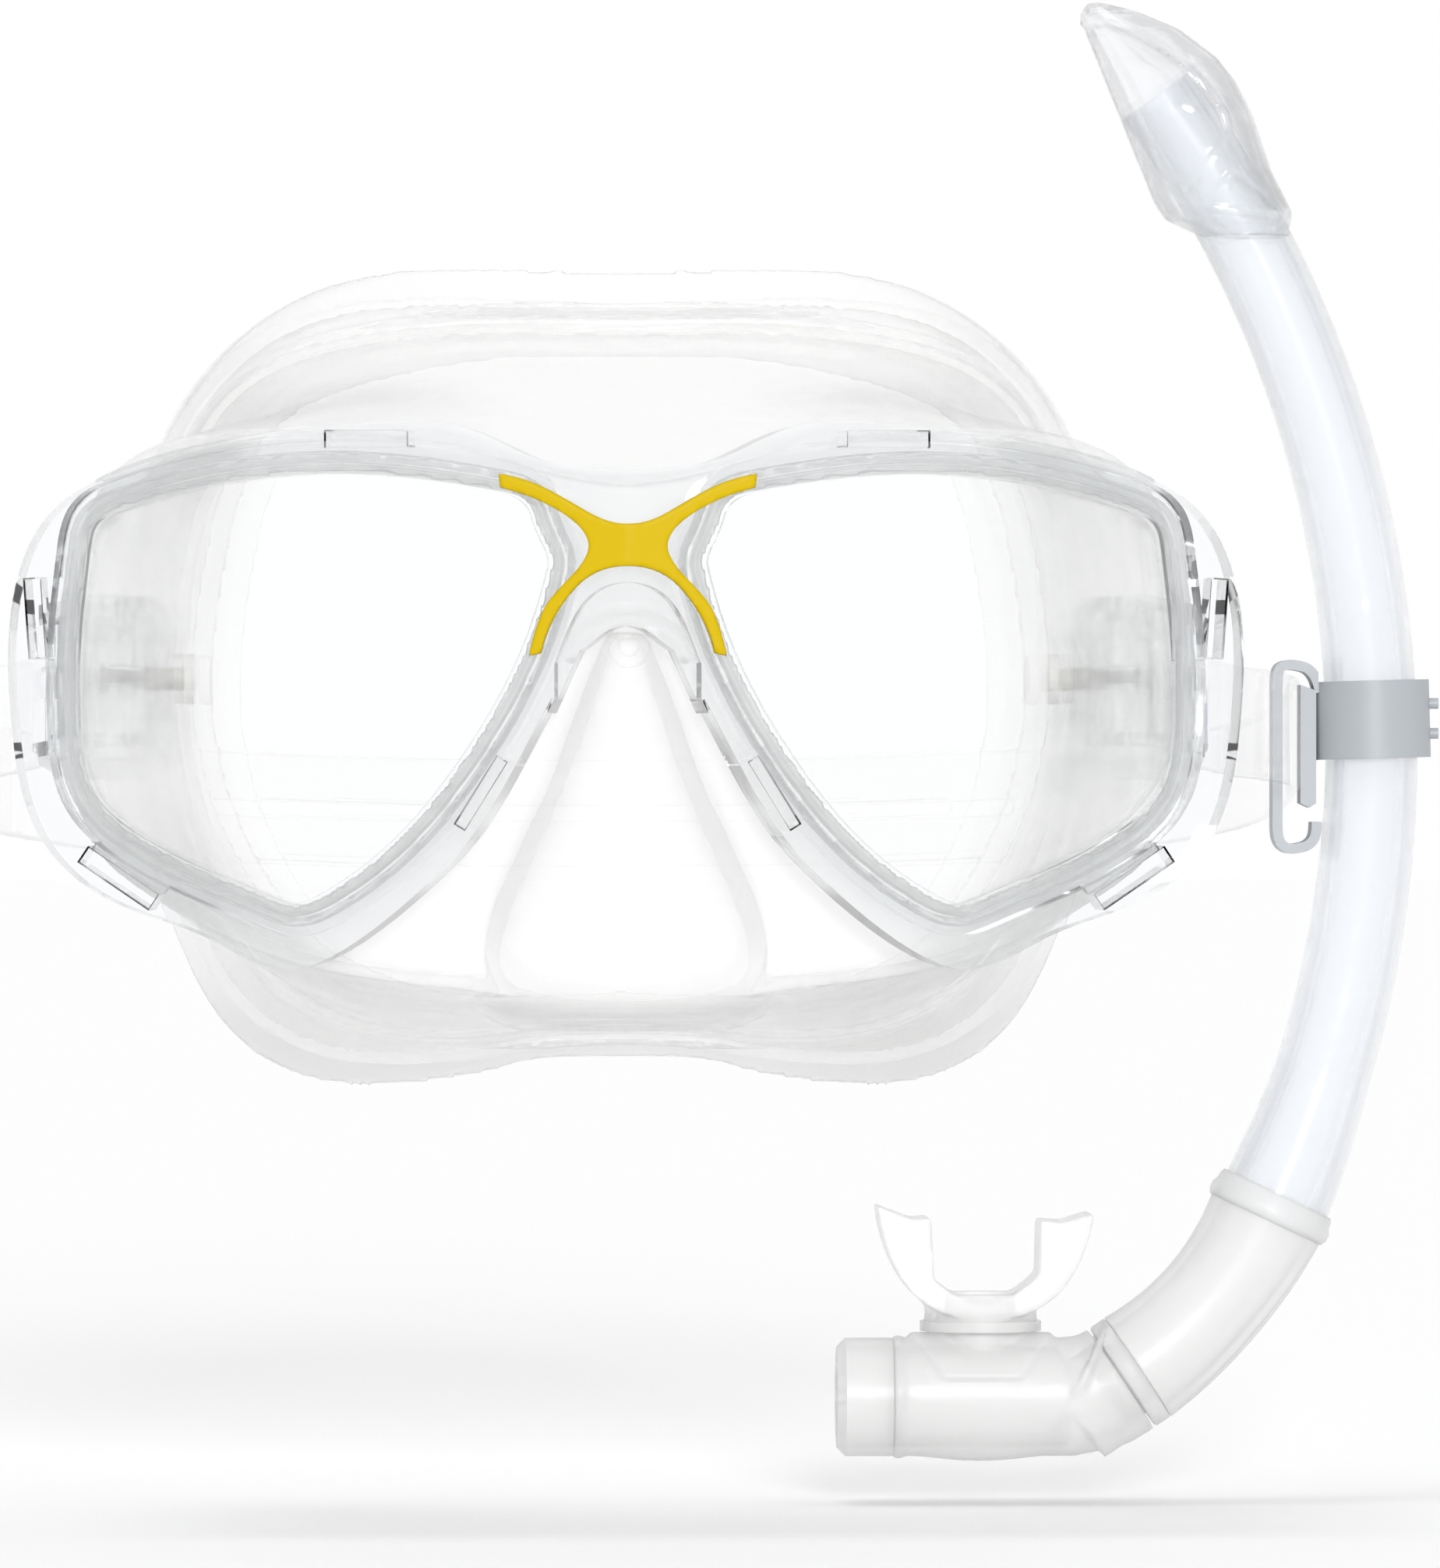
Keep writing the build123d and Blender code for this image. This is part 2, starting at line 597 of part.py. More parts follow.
# ---------------------------------------------------------------- flex hose, collar and cuff
# the hose carries on from the tube's end in a tighter arc
HOSE_START = TUBE_SECTIONS[-1][0]
HOSE_X = TUBE_X + (TUBE_BEND - HOSE_BEND) * cos(radians(HOSE_START))
HOSE_Z = TUBE_Z + (TUBE_BEND - HOSE_BEND) * sin(radians(HOSE_START))
HOSE_END = HOSE_START - HOSE_TURN
with BuildLine(side_view) as hose_path:
    CenterArc((HOSE_X, HOSE_Z), HOSE_BEND, HOSE_START, -HOSE_TURN)
with BuildPart() as flex_hose:
    with BuildSketch(tube_plane(TUBE_SECTIONS[-1][0])):
        Circle(HOSE_R)
        Circle(HOSE_BORE, mode=Mode.SUBTRACT)
    sweep(path=hose_path.line)
save(flex_hose.part, "flex_hose")

with BuildPart() as hose_collar:
    with BuildSketch(tube_plane(TUBE_SECTIONS[-1][0]).offset(0.3)):
        Circle(9.0)
    extrude(amount=3.4)
    add(tube_solid(0, 2), mode=Mode.SUBTRACT)
save(hose_collar.part, "hose_collar")

cuff_start = (HOSE_X + HOSE_BEND * cos(radians(HOSE_END)), SNORKEL_Y,
              HOSE_Z + HOSE_BEND * sin(radians(HOSE_END)))
cuff_way = (sin(radians(HOSE_END)), 0, -cos(radians(HOSE_END)))
cuff_plane = Plane(origin=cuff_start, x_dir=(0, 1, 0), z_dir=cuff_way)
with BuildPart() as hose_cuff:
    with BuildSketch(cuff_plane):
        Circle(HOSE_R - 0.2)
        Circle(4.8, mode=Mode.SUBTRACT)
    extrude(amount=CUFF_LENGTH)
    with BuildSketch(cuff_plane):
        Circle(6.0)
        Circle(4.8, mode=Mode.SUBTRACT)
    extrude(amount=CUFF_LENGTH + 3.4)
save(hose_cuff.part, "hose_cuff")

# ---------------------------------------------------------------- mouth chamber
chamber_plane = Plane(origin=(CHAMBER_LEFT, SNORKEL_Y, CHAMBER_Z), z_dir=(1, 0, 0))
neck_plane = Plane(origin=(NECK_X, SNORKEL_Y, CHAMBER_Z), z_dir=(0, 0, 1))
with BuildPart() as flange:
    with BuildSketch(neck_plane.offset(3)):
        Circle(10.0)
    extrude(amount=12)
    with BuildSketch(chamber_plane.offset(-30)):
        Circle(CHAMBER_R + 0.8)
    extrude(amount=90, mode=Mode.INTERSECT)
saddle = flange.part

with BuildPart() as elbow:
    with Locations((67.6, SNORKEL_Y, -99.6)):
        Sphere(7.6)
    with BuildSketch(cuff_plane.offset(CUFF_LENGTH + 0.3)):
        Circle(20)
    extrude(amount=20, mode=Mode.INTERSECT)

with BuildPart() as mouth_chamber:
    with BuildSketch(chamber_plane):
        Circle(CHAMBER_R)
    extrude(amount=CHAMBER_RIGHT - CHAMBER_LEFT)
    with BuildSketch(cuff_plane.offset(CUFF_LENGTH + 0.3)):
        Circle(HOSE_R)
    extrude(amount=8)
    # ball of the elbow where the two legs meet
    add(elbow.part)
    # saddle flange round the neck
    add(saddle)
    with BuildSketch(neck_plane):
        Circle(NECK_R)
    extrude(amount=11.6)
    with BuildSketch(chamber_plane):
        Circle(CHAMBER_BORE)
    extrude(amount=CHAMBER_RIGHT - CHAMBER_LEFT - 1.2, mode=Mode.SUBTRACT)
    with BuildSketch(cuff_plane.offset(CUFF_LENGTH)):
        Circle(6.3)
    extrude(amount=9, mode=Mode.SUBTRACT)
    with BuildSketch(neck_plane):
        Circle(NECK_BORE)
    extrude(amount=20, mode=Mode.SUBTRACT)
save(mouth_chamber.part, "mouth_chamber")

with BuildPart() as end_cap:
    with BuildSketch(chamber_plane):
        Circle(CHAMBER_R)
    extrude(amount=-7.8)
    chamfer(end_cap.faces().sort_by(Axis.X)[0].edges(), 1.2)
    with BuildSketch(chamber_plane):
        Circle(CHAMBER_R - 1.2)
    extrude(amount=-6.6, mode=Mode.SUBTRACT)
    with BuildSketch(chamber_plane.offset(-10)):
        with PolarLocations(4.2, 6):
            Circle(1.3)
    extrude(amount=8, mode=Mode.SUBTRACT)
save(end_cap.part, "end_cap")

with BuildPart() as valve_seat:
    with BuildSketch(chamber_plane):
        Circle(CHAMBER_BORE)
        with PolarLocations(3.9, 6):
            Circle(1.5, mode=Mode.SUBTRACT)
        Circle(1.0, mode=Mode.SUBTRACT)
    extrude(amount=1.2)
save(valve_seat.part, "valve_seat")

with BuildPart() as purge_flap:
    with BuildSketch(chamber_plane.offset(-0.1)):
        Circle(6.2)
    extrude(amount=-0.8)
    with BuildSketch(chamber_plane.offset(-0.1)):
        Circle(0.9)
    extrude(amount=3.4)
save(purge_flap.part, "purge_flap")

# ---------------------------------------------------------------- mouthpiece
with BuildPart() as mouthpiece:
    with BuildSketch(side_view.offset(-MOUTH_HALF)):
        with BuildLine():
            outer = Spline((36.7, -73.4), (38.2, -80.0), (42.6, -86.6), (51.6, -89.5), (60.8, -86.8),
                           (65.4, -80.4), (67.0, -74.4))
            # each wing is filled as far as its bite tab
            right_wing = Polyline(outer @ 1, (62.8, -75.7), (59.4, -75.5), (59.2, -83.0))
            inner = Spline(right_wing @ 1, (51.4, -86.9), (44.6, -83.6))
            Polyline(inner @ 1, (44.2, -75.1), (41.6, -75.3), outer @ 0)
        make_face()
    extrude(amount=2 * MOUTH_HALF)
    with BuildSketch(neck_plane.offset(9.1)):
        Circle(NECK_R + 1.4)
    extrude(amount=4.0)
    with BuildSketch(neck_plane.offset(7.0)):
        Circle(NECK_R)
    extrude(amount=4.6, mode=Mode.SUBTRACT)
    with BuildSketch(neck_plane):
        Circle(NECK_BORE)
    extrude(amount=40, mode=Mode.SUBTRACT)
save(mouthpiece.part, "mouthpiece")

with BuildPart() as mouthpiece_tie:
    with BuildSketch(neck_plane.offset(9.3)):
        Circle(NECK_R + 2.2)
        Circle(NECK_R + 1.4, mode=Mode.SUBTRACT)
    extrude(amount=1.4)
save(mouthpiece_tie.part, "mouthpiece_tie")
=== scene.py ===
from math import cos, pi, radians, sin

import bmesh
import bpy
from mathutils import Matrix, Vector
from mathutils.bvhtree import BVHTree

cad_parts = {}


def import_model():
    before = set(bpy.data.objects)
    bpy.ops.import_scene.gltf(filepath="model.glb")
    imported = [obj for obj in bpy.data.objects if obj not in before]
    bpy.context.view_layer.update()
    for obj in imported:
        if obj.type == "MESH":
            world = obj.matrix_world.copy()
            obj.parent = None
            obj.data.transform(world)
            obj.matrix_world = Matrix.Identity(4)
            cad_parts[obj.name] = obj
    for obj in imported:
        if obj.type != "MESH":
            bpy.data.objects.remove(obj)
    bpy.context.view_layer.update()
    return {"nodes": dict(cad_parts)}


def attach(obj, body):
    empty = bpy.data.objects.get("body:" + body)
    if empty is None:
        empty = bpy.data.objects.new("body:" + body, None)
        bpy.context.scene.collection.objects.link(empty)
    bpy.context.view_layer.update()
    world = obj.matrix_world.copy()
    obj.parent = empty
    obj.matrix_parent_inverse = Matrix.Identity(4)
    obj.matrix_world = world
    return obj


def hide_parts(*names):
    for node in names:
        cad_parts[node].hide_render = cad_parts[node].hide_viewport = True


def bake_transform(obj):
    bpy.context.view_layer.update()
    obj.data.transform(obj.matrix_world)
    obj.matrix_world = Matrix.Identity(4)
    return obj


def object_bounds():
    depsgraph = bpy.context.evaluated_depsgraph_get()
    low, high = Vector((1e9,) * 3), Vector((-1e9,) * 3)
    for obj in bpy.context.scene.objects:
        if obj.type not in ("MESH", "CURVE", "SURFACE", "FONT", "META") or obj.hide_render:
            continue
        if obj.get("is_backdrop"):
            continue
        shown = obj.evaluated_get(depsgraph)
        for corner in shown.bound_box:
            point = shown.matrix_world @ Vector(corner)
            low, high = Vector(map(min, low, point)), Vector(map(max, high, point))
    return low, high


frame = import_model()
NODES = frame["nodes"]
MM = 0.001

# ---------------------------------------------------------------- driving dimensions, millimetres
HEAD_RADIUS = 92.0                  # barrel-shaped face that the seal lies on
HEAD_HALF, HEAD_BULGE, HEAD_TILT = 75.0, 11.0, 2.0      # how its radius falls off with height
POST_Y, POST_Z = -8.0, -0.3         # strap posts' axis
STRAP_DROOP = radians(8)
STRAP_THICK, STRAP_WIDTH = 1.5, 15.8                    # just inside the CAD strap
ROLLER_X, ROLLER_BACK, WRAP_R = 71.5, 21.0, 3.15        # roller, and the strap's turn round it
HOOK_RUN_X = 94.85                  # where the strap runs through the keeper's hook
SNORKEL_Y = 50.0                    # plane that the whole snorkel lies in
TUBE_X, TUBE_Z, TUBE_BEND = -47.6, -9.5, 153.9          # centre and radius of the tube's arc
HOSE_START, HOSE_TURN, HOSE_BEND = -25.3, 30.8, 52.1    # hose's arc: two angles and its radius
NECK_X, CHAMBER_Z = 51.4, -100.4    # axes of the mouthpiece's neck and of the mouth chamber
CHAMBER_LEFT = 39.0                 # open end of the mouth chamber
HOSE_X = TUBE_X + (TUBE_BEND - HOSE_BEND) * cos(radians(HOSE_START))
HOSE_Z = TUBE_Z + (TUBE_BEND - HOSE_BEND) * sin(radians(HOSE_START))
HOSE_END = radians(HOSE_START - HOSE_TURN)
CUFF_START = (HOSE_X + HOSE_BEND * cos(HOSE_END), SNORKEL_Y, HOSE_Z + HOSE_BEND * sin(HOSE_END))
CUFF_WAY = (sin(HOSE_END), 0, -cos(HOSE_END))
# half outline of the opening for the face, as X and Z
FACE_RING = ((0, 46.4), (23, 45.6), (46.6, 39), (55.2, 26), (59, 4), (57.8, -13), (51.5, -28),
             (42, -39), (28, -45), (14, -46), (0, -45.5))
# inner seal lip's section: scale of the face ring, and distance from the face (minus is forward)
LIP_SECTION = ((1.1, -10.5), (1.02, -6.2), (0.95, -3.9), (0.935, -4.6), (1.0, -7.4), (1.09, -12))
# bar across the top of the nose pocket, as X and Z
NOSE_BAR = ((-7.2, 2.2), (-5.7, 5.0), (-3.4, 6.5), (0.2, 6.9), (3.8, 6.5), (6.2, 5.0), (7.8, 2.2))
GATE_X, GATE_Z = 0.3, 4.0           # moulding's gate mark on the nose pocket
GATE_RINGS = (("gate_ring", 2.9), ("gate_mark", 1.4))   # pieces and their radii
# strap's middle from the buckle back to behind the head, as X and distance behind the posts
STRAP_REST = ((77.2, 27), (83.5, 37), (90.8, 43.6), (HOOK_RUN_X, 50), (HOOK_RUN_X, 58),
              (HOOK_RUN_X, 67), (92.6, 83), (87, 98), (72, 115.4), (54, 124), (28, 131), (0, 133))
WIDE_BACK, WIDE_X = 118, 50         # the strap is one band outside of these
NARROW_BACK, NARROW_X = 110, 64     # and two bands inside of these, so that they overlap
STRAP_GAP = 2.0                     # between the two bands
# hose's outer and inner wall: radius, how much less at the middle, and depth of the folds
HOSE_WALLS = ((8.35, 0.5, 0.8), (6.7, 0.2, 0.4))
HOSE_FOLDS = 14
# mouth chamber's outer wall between its open end and the elbow
BELLY_LENGTH, BELLY_OUTER, BELLY_INNER, BELLY_SWELL = 25.4, 8.25, 7.3, 0.75
# elbow's wall: where its bend starts, the bend's corner, and how far along the cuff it ends
ELBOW_START = (60.5, SNORKEL_Y, CHAMBER_Z)
ELBOW_CORNER = (66.9, SNORKEL_Y, -100.6)
ELBOW_END, ELBOW_RADIUS, ELBOW_HOLLOW = 3.0, 8.3, 0.84
SEAM_PLACE, SEAM_WAY = (65.3, SNORKEL_Y, -98.0), (0.905, 0, -0.425)
# profiles of turned pieces, as distance along the axis and radius
COLLAR_PROFILE = ((-0.2, 8.05), (-0.3, 8.6), (0.5, 9.0), (1.5, 9.0), (2.3, 8.6), (3.2, 8.5),
                  (3.7, 8.2), (3.7, 7.95), (2.0, 8.0))
CUFF_PROFILE = ((0.05, 6.5), (0.05, 8.0), (0.3, 8.3), (2.3, 8.3), (2.6, 8.0), (2.6, 6.0),
                (5.8, 6.0), (5.8, 4.9), (0.3, 4.9))
NECK_PROFILE = ((9.2, 6.35), (9.2, 8.2), (10.8, 8.0), (11.8, 7.8), (13.0, 8.0), (14.6, 8.6),
                (14.6, 6.0), (12.6, 5.5))
BEAD_PROFILE = ((0.15, 7.6), (0.15, 8.5), (0.8, 8.7), (1.5, 8.5), (1.5, 7.6))
LIP_PROFILE = ((2.95, 7.0), (2.95, 8.1), (3.3, 8.35), (6.5, 8.2), (8.5, 7.8), (8.5, 7.0))
SEAM_PROFILE = ((-0.6, 8.2), (-0.4, 8.75), (0.4, 8.75), (0.6, 8.2))
FLAP_PROFILE = ((-0.1, 0.02), (-0.9, 0.02), (-1.0, 1.0), (-0.8, 3.6), (-0.45, 6.1),
                (-0.25, 6.15), (-0.15, 3.6), (-0.1, 0.9), (2.6, 0.8), (3.2, 0.5), (3.3, 0.02))
# splash guard: its straight open edge and rounded back as Z and X, and its half depth at a Z
HOOD_EDGE = ((62.2, 82.6), (64.6, 77.4), (66.9, 75.8), (93.1, 65.2), (95.0, 66.4))
HOOD_BACK = ((62.2, 94.6), (65.6, 95.2), (71.5, 92.2), (79.5, 89.5), (84.0, 87.2), (87.3, 84.6),
             (91.4, 79.2), (94.0, 73.0), (95.0, 68.4))
HOOD_DEPTH = ((62.2, 7.4), (64.6, 8.2), (72.0, 8.9), (80.0, 8.8), (86.0, 7.4), (91.0, 5.2),
              (95.0, 1.6))
# rib on each side of the hood, and the rounded triangle of the window there, as X and Z
HOOD_RIB = ((65.6, 92.3), (70.8, 91.2), (79.2, 86.2), (84.2, 80.7), (85.4, 77.0), (82.9, 72.2),
            (80.0, 68.4))
HOOD_WINDOW = ((86.6, 70.6), (85.6, 70.0), (83.2, 67.0), (83.4, 66.0), (88.5, 65.3),
               (92.6, 64.9), (92.8, 65.6), (89.6, 68.4))
HOOD_WALL, RIB_RADIUS, RIB_SUNK, WINDOW_RADIUS = 1.0, 0.5, 0.2, 0.45


# ---------------------------------------------------------------- materials
def material(name, colour, roughness, transmission=0.0, ior=1.46, metallic=0.0, grain=900,
             bump=0.02, uneven=0.06, solid=1.0, shine=0.5):
    """Procedural material: its roughness varies a little, and fine grain lifts its surface.
    solid is its alpha and shine its specular level."""
    grain_height = 0.0002
    mat = bpy.data.materials.new(name)
    mat.use_nodes = True
    nodes, links = mat.node_tree.nodes, mat.node_tree.links
    shader = nodes["Principled BSDF"]
    shader.inputs["Base Color"].default_value = (*colour, 1)
    shader.inputs["Transmission Weight"].default_value = transmission
    shader.inputs["IOR"].default_value = ior
    shader.inputs["Metallic"].default_value = metallic
    shader.inputs["Specular IOR Level"].default_value = shine
    shader.inputs["Alpha"].default_value = solid
    place = nodes.new("ShaderNodeTexCoord")
    noise = nodes.new("ShaderNodeTexNoise")
    noise.inputs["Scale"].default_value = grain
    noise.inputs["Detail"].default_value = 4
    links.new(place.outputs["Object"], noise.inputs["Vector"])
    spread = nodes.new("ShaderNodeMapRange")
    spread.inputs["To Min"].default_value = max(0.0, roughness - uneven)
    spread.inputs["To Max"].default_value = roughness + uneven
    links.new(noise.outputs["Fac"], spread.inputs["Value"])
    links.new(spread.outputs["Result"], shader.inputs["Roughness"])
    relief = nodes.new("ShaderNodeBump")
    relief.inputs["Strength"].default_value = bump
    relief.inputs["Distance"].default_value = grain_height
    links.new(noise.outputs["Fac"], relief.inputs["Height"])
    links.new(relief.outputs["Normal"], shader.inputs["Normal"])
    return mat


CLEAR = material("clear_polycarbonate", (0.97, 0.98, 0.985), 0.03, 1.0, 1.5, uneven=0.02,
                 bump=0.004)
HOOD = material("clear_hood", (0.97, 0.98, 0.99), 0.06, 1.0, 1.45, uneven=0.02, bump=0.004,
                solid=0.6)
GLASS = material("tempered_glass", (0.985, 0.995, 0.99), 0.0, 1.0, 1.5, uneven=0.004, bump=0.0,
                 solid=0.5)
SILICONE = material("clear_silicone", (0.96, 0.96, 0.95), 0.2, 0.75, 1.38, grain=350, bump=0.03,
                    solid=0.5)
SOFT_CLEAR = material("clear_strap", (0.95, 0.95, 0.945), 0.12, 0.95, 1.25, grain=350, bump=0.02,
                      solid=0.15)
MILKY = material("milky_silicone", (0.83, 0.83, 0.825), 0.35, 0.3, 1.36, grain=350, bump=0.0,
                 solid=0.6)
YELLOW = material("yellow_plastic", (0.51, 0.355, 0.0), 0.4, grain=1400, bump=0.03, shine=0.1)
GREY = material("grey_plastic", (0.34, 0.36, 0.38), 0.42, grain=1600, bump=0.05)
PALE = material("pale_grey_plastic", (0.62, 0.61, 0.59), 0.5, grain=1600, bump=0.03)
TUBE = material("clear_tube", (0.86, 0.885, 0.92), 0.16, 0.75, 1.4, grain=200, uneven=0.03,
                bump=0.01, solid=0.45)
STEEL = material("spring_steel", (0.6, 0.6, 0.62), 0.25, metallic=1.0, grain=2400)


def dress(mat, *names):
    """Gives CAD nodes a material."""
    for name in names:
        NODES[name].data.materials.clear()
        NODES[name].data.materials.append(mat)


def soften(width, *names):
    """Rounds the sharp edges of CAD nodes."""
    for name in names:
        bevel = NODES[name].modifiers.new("rounded_edges", "BEVEL")
        bevel.width = width * MM
        bevel.segments = 3
        bevel.limit_method = "ANGLE"
        bevel.angle_limit = radians(35)
        bevel.harden_normals = False


# ---------------------------------------------------------------- objects
def add_object(name, data):
    """New object in the scene."""
    obj = bpy.data.objects.new(name, data)
    bpy.context.scene.collection.objects.link(obj)
    return obj


def shade_smooth(mesh):
    for face in mesh.polygons:
        face.use_smooth = True


def loose_mesh(name, verts, faces):
    """Mesh object in millimetres, with outward faces."""
    mesh = bpy.data.meshes.new(name)
    mesh.from_pydata([Vector(v) * MM for v in verts], [], faces)
    bm = bmesh.new()
    bm.from_mesh(mesh)
    bmesh.ops.recalc_face_normals(bm, faces=bm.faces)
    bm.to_mesh(mesh)
    bm.free()
    shade_smooth(mesh)
    return add_object(name, mesh)


def copy_of(node):
    """Loose copy of a CAD node's mesh."""
    return add_object(node + "_copy", NODES[node].data.copy())


def settle(obj, body, slot_name, mat, *nodes):
    """Gives a finished piece its material, hangs it on the body that it rides on or, for a piece
    between bodies, bakes its place into its mesh, and hides the CAD nodes that it stands for.
    """
    obj.data.materials.clear()
    obj.data.materials.append(mat)
    if isinstance(body, str):
        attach(obj, body)
    else:
        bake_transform(obj)
    if nodes:
        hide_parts(*nodes)


def new_piece(name, body, slot_name, mat, verts, faces, *nodes):
    """Closed mesh in millimetres, settled on a body."""
    settle(loose_mesh(name, verts, faces), body, slot_name, mat, *nodes)


def moulded(name, parts, voxel, smooth):
    """One smooth soft moulding out of loose meshes that run into each other."""
    bm = bmesh.new()
    for part in parts:
        bm.from_mesh(part.data)
        bpy.data.objects.remove(part)
    mesh = bpy.data.meshes.new(name)
    bm.to_mesh(mesh)
    bm.free()
    obj = add_object(name, mesh)
    remesh = obj.modifiers.new("remesh", "REMESH")
    remesh.mode = "VOXEL"
    remesh.voxel_size = voxel * MM
    even = obj.modifiers.new("smooth", "SMOOTH")
    even.factor = 0.5
    even.iterations = smooth
    bpy.context.view_layer.update()
    evaluated = obj.evaluated_get(bpy.context.evaluated_depsgraph_get())
    final = bpy.data.meshes.new_from_object(evaluated)
    obj.modifiers.clear()
    obj.data = final
    shade_smooth(final)
    return obj


def front_of(node):
    """Function for how far forward a CAD node reaches at an x and a z."""
    mesh = NODES[node].data
    tree = BVHTree.FromPolygons([v.co for v in mesh.vertices], [f.vertices for f in mesh.polygons])
    back = Vector((0, 1, 0))
    return lambda x, z: tree.ray_cast(Vector((x, -100, z)) * MM, back)[0].y / MM


# ---------------------------------------------------------------- runs and rings of points
BEAD_SIDES, LATHE_SIDES, HOOD_SIDES = 12, 64, 72


def circle(count):
    """Angles of points spaced evenly round a circle."""
    return [2 * pi * i / count for i in range(count)]


def strip(a, b, count):
    """Faces between a ring of vertices that starts at index a and one that starts at b."""
    return [(a + j, a + (j + 1) % count, b + (j + 1) % count, b + j) for j in range(count)]


def shell_mesh(rings, closed_path=False):
    """Faces between rings of points of one size, with caps on an open path."""
    count = len(rings[0])
    verts = [p for ring in rings for p in ring]
    faces = []
    for i in range(len(rings) if closed_path else len(rings) - 1):
        faces += strip(i * count, (i + 1) % len(rings) * count, count)
    if not closed_path:
        faces.append(tuple(range(count)))
        faces.append(tuple(range(len(verts) - count, len(verts))))
    return verts, faces


def curve(points, closed=False, steps=8):
    """Smooth run through points, with a number of steps between each two."""
    run = []
    count = len(points)
    last = count if closed else count - 1
    for i in range(last):
        p1, p2 = Vector(points[i]), Vector(points[(i + 1) % count])
        p0 = Vector(points[i - 1]) if closed or i else p1 - (p2 - p1)
        p3 = Vector(points[(i + 2) % count]) if closed or i + 2 < count else p2 + (p2 - p1)
        for s in range(steps):
            t = s / steps
            run.append(0.5 * (2 * p1 + (p2 - p0) * t + (2 * p0 - 5 * p1 + 4 * p2 - p3) * t * t
                              + (3 * p1 - p0 - 3 * p2 + p3) * t ** 3))
    if not closed:
        run.append(Vector(points[-1]))
    return run


def tube_along(points, radius, closed=False):
    """Round bead along a smooth run of points, as vertices and faces."""
    run = curve(points, closed, steps=6)
    rings = []
    for i, p in enumerate(run):
        if closed:
            ahead, behind = (i + 1) % len(run), i - 1
        else:
            ahead, behind = min(i + 1, len(run) - 1), max(i - 1, 0)
        way = (run[ahead] - run[behind]).normalized()
        if abs(way.y) < 0.9:
            side = way.cross(Vector((0, 1, 0))).normalized()
        else:
            side = way.orthogonal().normalized()
        other = way.cross(side)
        rings.append([p + side * radius * cos(a) + other * radius * sin(a)
                      for a in circle(BEAD_SIDES)])
    return shell_mesh(rings, closed_path=closed)


def lathe(origin, axis, profile):
    """Closed ring of a profile of (along, radius) points turned about an axis."""
    axis = Vector(axis).normalized()
    side = axis.orthogonal().normalized()
    other = axis.cross(side)
    rings = []
    for turn in circle(LATHE_SIDES):
        out = side * cos(turn) + other * sin(turn)
        rings.append([Vector(origin) + axis * along + out * radius for along, radius in profile])
    return shell_mesh(rings, closed_path=True)


# ---------------------------------------------------------------- mask
def face_depth(x, z):
    """How far back the face that the seal lies on is."""
    up = z / HEAD_HALF
    radius = HEAD_RADIUS - HEAD_BULGE * up ** 2 - HEAD_TILT * up
    return HEAD_RADIUS - (radius ** 2 - x ** 2) ** 0.5


def mirrored_ring(points):
    """Whole outline from its half on the side of positive X."""
    return ([Vector((x, 0, z)) for x, z in points]
            + [Vector((-x, 0, z)) for x, z in points[-2:0:-1]])


def inner_lip():
    """Second, thinner seal lip inside the outer one."""
    rings = []
    for p in curve(mirrored_ring(FACE_RING), closed=True, steps=10):
        depth = face_depth(p.x, p.z)
        rings.append([Vector((p.x * grow, depth + back, p.z * grow)) for grow, back in LIP_SECTION])
    return loose_mesh("inner_lip", *shell_mesh(rings, closed_path=True))


def skirt():
    """Silicone skirt: its CAD shape with a second seal lip, a bar over the nose and the
    moulding's gate rings."""
    front = front_of("skirt")
    bar = [(x, front(x, z) + 0.2, z) for x, z in NOSE_BAR]
    parts = (copy_of("skirt"), inner_lip(), loose_mesh("nose_bar", *tube_along(bar, radius=1.2)))
    obj = moulded("skirt_moulding", parts, voxel=0.6, smooth=4)
    settle(obj, "mask", "clear_silicone", SILICONE, "skirt")
    for name, radius in GATE_RINGS:
        ring = [(GATE_X + radius * cos(a), GATE_Z + radius * sin(a)) for a in circle(16)]
        points = [(x, front(x, z) - 0.1, z) for x, z in ring]
        new_piece(name, "mask", "clear_silicone", SOFT_CLEAR,
                  *tube_along(points, radius=0.2, closed=True))


def bridge_trim():
    """Yellow trim with its edges rounded all over."""
    obj = moulded("trim_moulding", (copy_of("bridge_trim"),), voxel=0.3, smooth=1)
    settle(obj, "mask", "yellow_plastic", YELLOW, "bridge_trim")


# ---------------------------------------------------------------- strap
def strap_place(x, back, up):
    """Point of the loose strap's plane, which droops behind the posts."""
    return Vector((x, POST_Y + back * cos(STRAP_DROOP) + up * sin(STRAP_DROOP),
                   POST_Z - back * sin(STRAP_DROOP) + up * cos(STRAP_DROOP)))


def strap_run():
    """The strap's route from one buckle's loose tail round the head to the other's."""
    tail = [(ROLLER_X - WRAP_R, 31), (ROLLER_X - WRAP_R, 26)]
    turn = [(ROLLER_X - WRAP_R * cos(radians(a)), ROLLER_BACK - WRAP_R * sin(radians(a)))
            for a in range(0, 181, 30)]
    half = [*tail, *turn, *STRAP_REST]
    return half + [(-x, y) for x, y in half[-2::-1]]


def band(run, low, high):
    """Solid strip of the strap between two heights, with rounded edges."""
    side, edge = STRAP_THICK / 2, 0.5
    section = ((-side, low + edge), (-side * 0.5, low), (side * 0.5, low), (side, low + edge),
               (side, high - edge), (side * 0.5, high), (-side * 0.5, high), (-side, high - edge))
    rings = []
    for i, p in enumerate(run):
        ahead = run[min(i + 1, len(run) - 1)] - run[max(i - 1, 0)]
        across = Vector((-ahead.y, ahead.x)).normalized()
        ring = []
        for out, up in section:
            q = Vector((p.x, p.y)) + across * out
            ring.append(strap_place(q.x, q.y, up))
        rings.append(ring)
    return loose_mesh("band", *shell_mesh(rings))


